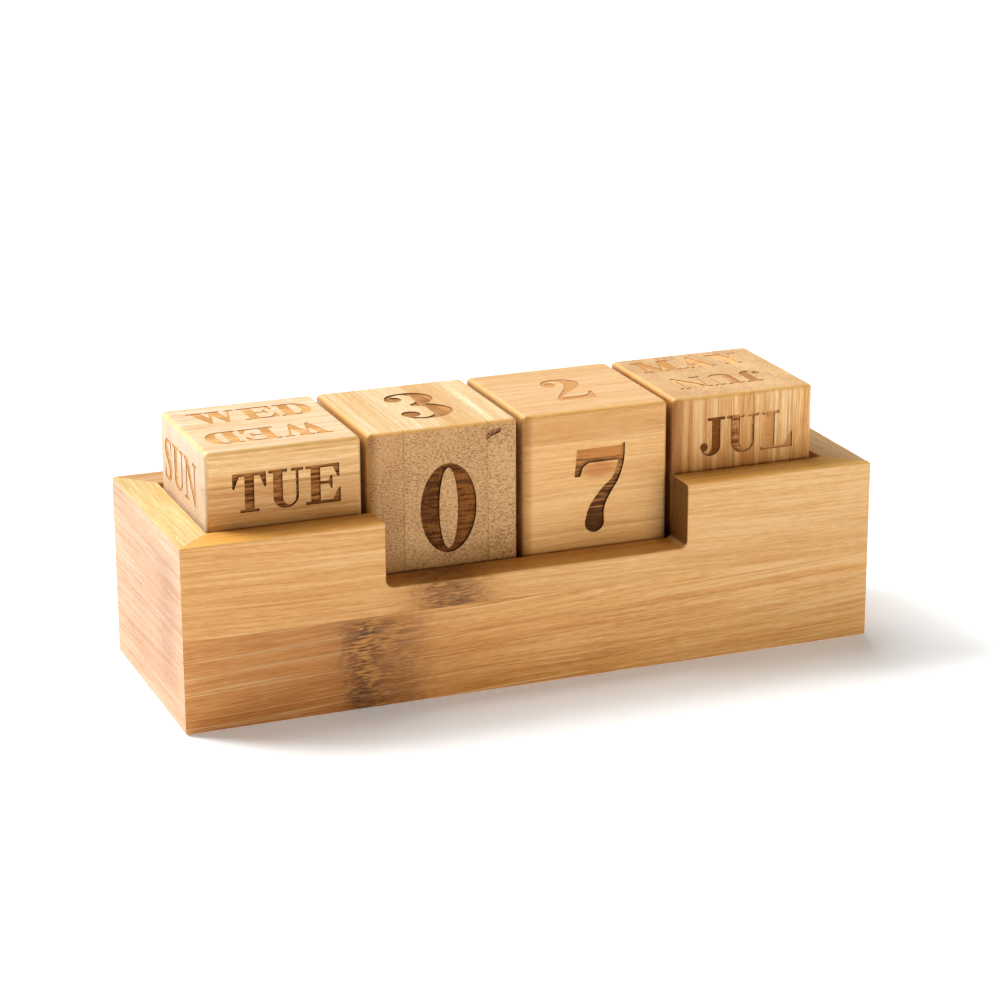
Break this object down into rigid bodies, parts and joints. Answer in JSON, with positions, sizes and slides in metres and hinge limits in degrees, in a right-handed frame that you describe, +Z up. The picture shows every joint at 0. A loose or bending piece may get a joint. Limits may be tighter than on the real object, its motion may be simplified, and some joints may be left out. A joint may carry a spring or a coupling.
{
  "type": "perpetual desk calendar",
  "caption": "Bamboo tray with a stepped-down front window that holds loose engraved cubes for the weekday, the date's digits and the month.",
  "frame": {"origin": "under the middle of the tray, on the surface it stands on", "axes": "+X along the tray to the viewer's right, -Y to the front where the date is read, +Z up"},
  "size_m": [0.186, 0.0624, 0.0673],
  "materials": {
    "tray_lower_bamboo": "sanded honey-coloured bamboo with fine long fibres and a darker node patch, thin satin oil",
    "tray_upper_bamboo": "sanded honey-coloured bamboo with fine long fibres, slightly golden on the rim, thin satin oil",
    "tray_floor_bamboo": "plain sanded bamboo",
    "day_block_bamboo": "pale sanded bamboo, fibres across, words burnt dark brown by engraving",
    "left_number_block_bamboo": "bamboo with speckled brown end grain at the front and back, digits burnt dark brown by engraving",
    "right_number_block_bamboo": "pale sanded bamboo, fibres across, digits burnt dark brown by engraving",
    "month_block_bamboo": "bamboo strips on edge with upright fibres, words burnt dark brown by engraving"
  },
  "bodies": {
    "tray": {"front_wall_lower_strip": "tray_lower_bamboo", "front_wall_upper_strip": "tray_upper_bamboo", "back_wall_lower_strip": "tray_lower_bamboo", "back_wall_upper_strip": "tray_upper_bamboo", "left_wall_lower_strip": "tray_lower_bamboo", "left_wall_upper_strip": "tray_upper_bamboo", "right_wall_lower_strip": "tray_lower_bamboo", "right_wall_upper_strip": "tray_upper_bamboo", "floor_panel": "tray_floor_bamboo"},
    "day_block": {"day_block_ply_1": "day_block_bamboo", "day_block_ply_2": "day_block_bamboo", "day_block_ply_3": "day_block_bamboo", "day_block_ply_4": "day_block_bamboo"},
    "left_number_block": {"left_number_block_board_1": "left_number_block_bamboo", "left_number_block_board_2": "left_number_block_bamboo", "left_number_block_board_3": "left_number_block_bamboo"},
    "right_number_block": {"right_number_block_ply_1": "right_number_block_bamboo", "right_number_block_ply_2": "right_number_block_bamboo", "right_number_block_ply_3": "right_number_block_bamboo", "right_number_block_ply_4": "right_number_block_bamboo"},
    "month_block": {"month_block_strip_1": "month_block_bamboo", "month_block_strip_2": "month_block_bamboo", "month_block_strip_3": "month_block_bamboo", "month_block_strip_4": "month_block_bamboo", "month_block_strip_5": "month_block_bamboo", "month_block_strip_6": "month_block_bamboo", "month_block_strip_7": "month_block_bamboo"}
  },
  "joints": [
    {"name": "day_block_lift", "type": "slide", "parent": "tray", "child": "day_block", "axis": [0, 0, 1], "range_m": [0, 0.045]},
    {"name": "left_number_block_lift", "type": "slide", "parent": "tray", "child": "left_number_block", "axis": [0, 0, 1], "range_m": [0, 0.045]},
    {"name": "right_number_block_lift", "type": "slide", "parent": "tray", "child": "right_number_block", "axis": [0, 0, 1], "range_m": [0, 0.045]},
    {"name": "month_block_lift", "type": "slide", "parent": "tray", "child": "month_block", "axis": [0, 0, 1], "range_m": [0, 0.045]}
  ]
}
